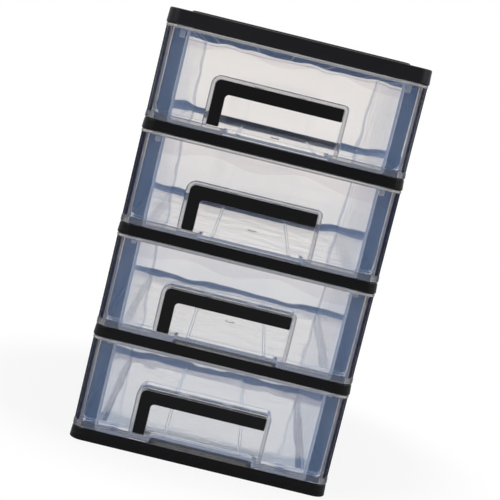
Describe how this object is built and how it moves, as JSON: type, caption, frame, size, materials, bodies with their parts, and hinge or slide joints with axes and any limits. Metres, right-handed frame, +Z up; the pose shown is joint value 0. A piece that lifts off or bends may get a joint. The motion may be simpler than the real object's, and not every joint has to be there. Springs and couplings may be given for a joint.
{
  "type": "desktop drawer tower",
  "caption": "Tall desktop tower of clear pull-out drawers with angled black handles, held between black frames and side panels under a flat black lid.",
  "frame": {"origin": "middle of the underside of the base frame, on the surface it stands on", "axes": "+Z up, -Y towards the drawer fronts, +X to the right seen from the front"},
  "size_m": [0.191, 0.3, 0.3187],
  "materials": {
    "black_plastic": "satin black moulded plastic",
    "clear_plastic": "clear moulded plastic with a faint blue cast"
  },
  "bodies": {
    "case": {"base_frame": "black_plastic", "side_panel_left_1": "black_plastic", "stop_clip_left_1": "clear_plastic", "side_panel_right_1": "black_plastic", "stop_clip_right_1": "clear_plastic", "middle_frame_1": "black_plastic", "side_panel_left_2": "black_plastic", "stop_clip_left_2": "clear_plastic", "side_panel_right_2": "black_plastic", "stop_clip_right_2": "clear_plastic", "middle_frame_2": "black_plastic", "side_panel_left_3": "black_plastic", "stop_clip_left_3": "clear_plastic", "side_panel_right_3": "black_plastic", "stop_clip_right_3": "clear_plastic", "middle_frame_3": "black_plastic", "side_panel_left_4": "black_plastic", "stop_clip_left_4": "clear_plastic", "side_panel_right_4": "black_plastic", "stop_clip_right_4": "clear_plastic", "lid": "black_plastic"},
    "drawer_1_body": {"drawer_1": "clear_plastic", "handle_1": "black_plastic"},
    "drawer_2_body": {"drawer_2": "clear_plastic", "handle_2": "black_plastic"},
    "drawer_3_body": {"drawer_3": "clear_plastic", "handle_3": "black_plastic"},
    "drawer_4_body": {"drawer_4": "clear_plastic", "handle_4": "black_plastic"}
  },
  "joints": [
    {"name": "drawer_1_slide", "type": "slide", "parent": "case", "child": "drawer_1_body", "axis": [0, -1, 0], "range_m": [0, 0.25]},
    {"name": "drawer_2_slide", "type": "slide", "parent": "case", "child": "drawer_2_body", "axis": [0, -1, 0], "range_m": [0, 0.25]},
    {"name": "drawer_3_slide", "type": "slide", "parent": "case", "child": "drawer_3_body", "axis": [0, -1, 0], "range_m": [0, 0.25]},
    {"name": "drawer_4_slide", "type": "slide", "parent": "case", "child": "drawer_4_body", "axis": [0, -1, 0], "range_m": [0, 0.25]}
  ]
}
